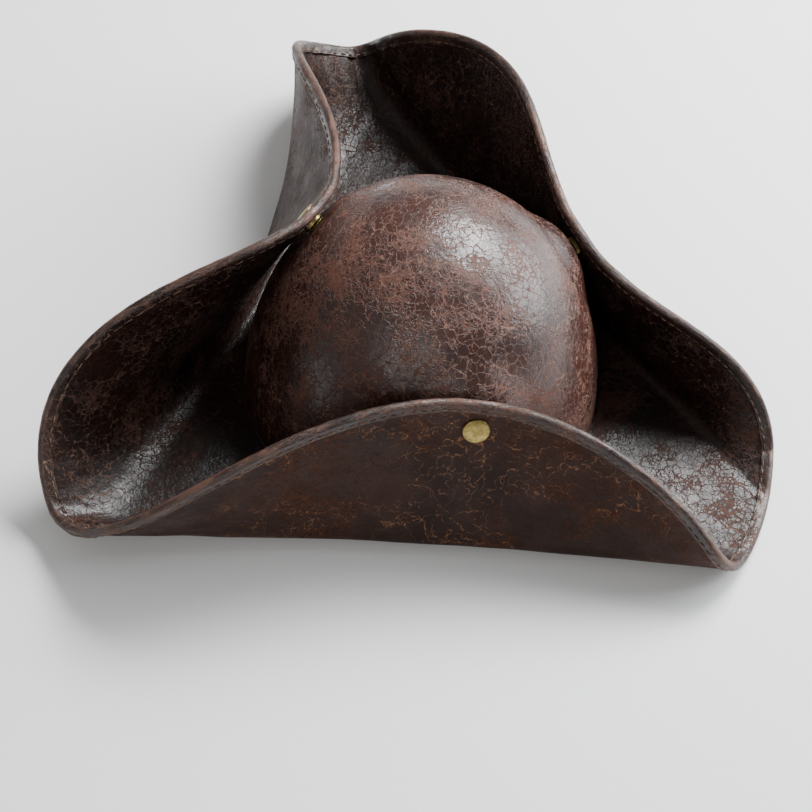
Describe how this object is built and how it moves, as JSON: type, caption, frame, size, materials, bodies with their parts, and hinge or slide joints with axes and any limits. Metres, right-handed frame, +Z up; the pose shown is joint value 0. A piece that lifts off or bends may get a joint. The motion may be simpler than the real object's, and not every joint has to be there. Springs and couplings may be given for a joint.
{
  "type": "pirate hat",
  "caption": "Three-cornered pirate hat in crackled brown faux leather: a domed crown, a brim folded up in flaps held by brass press studs.",
  "frame": {"origin": "centre of the head opening, in the plane of the brim's flat underside", "axes": "+Z up through the crown; the front flap faces -Y; +X to the right seen from the front flap"},
  "size_m": [0.3942, 0.362, 0.13],
  "materials": {
    "crown_leather": "crackled, half-gloss faux leather with worn orange-brown patches",
    "brim_top_leather": "crackled, half-gloss faux leather",
    "brim_under_leather": "matt dark faux leather with fine tan scratches",
    "hem_leather": "worn faux leather strip, topstitched",
    "felt": "needled felt",
    "lining": "black satin",
    "sweatband": "ribbed band",
    "brass": "satin antique brass"
  },
  "bodies": {
    "crown": {"crown_shell": "crown_leather", "crown_interlining": "felt", "crown_lining": "lining", "sweatband": "sweatband", "brim_under_skin": "brim_under_leather", "brim_core": "felt", "brim_upper_skin": "brim_top_leather", "left_corner_hem": "hem_leather", "right_corner_hem": "hem_leather", "back_corner_hem": "hem_leather", "front_snap_stud": "brass", "front_snap_post": "brass", "right_snap_stud": "brass", "right_snap_post": "brass", "left_snap_stud": "brass", "left_snap_post": "brass"},
    "front_flap": {"front_flap_outer_skin": "brim_under_leather", "front_flap_core": "felt", "front_flap_inner_skin": "brim_top_leather", "front_flap_hem": "hem_leather", "front_snap_cap": "brass", "front_snap_socket": "brass"},
    "right_flap": {"right_flap_outer_skin": "brim_under_leather", "right_flap_core": "felt", "right_flap_inner_skin": "brim_top_leather", "right_flap_hem": "hem_leather", "right_snap_cap": "brass", "right_snap_socket": "brass"},
    "left_flap": {"left_flap_outer_skin": "brim_under_leather", "left_flap_core": "felt", "left_flap_inner_skin": "brim_top_leather", "left_flap_hem": "hem_leather", "left_snap_cap": "brass", "left_snap_socket": "brass"}
  },
  "joints": [
    {"name": "front_flap_hinge", "type": "hinge", "parent": "crown", "child": "front_flap", "pos_m": [-0.00279, -0.10646, 0], "axis": [0.9997, -0.0262, 0], "range_deg": [0, 45]},
    {"name": "right_flap_hinge", "type": "hinge", "parent": "crown", "child": "right_flap", "pos_m": [0.08353, 0.06526, 0], "axis": [-0.6157, 0.788, 0], "range_deg": [0, 45]},
    {"name": "left_flap_hinge", "type": "hinge", "parent": "crown", "child": "left_flap", "pos_m": [-0.09729, 0.04332, 0], "axis": [-0.4067, -0.9135, 0], "range_deg": [0, 45]}
  ]
}
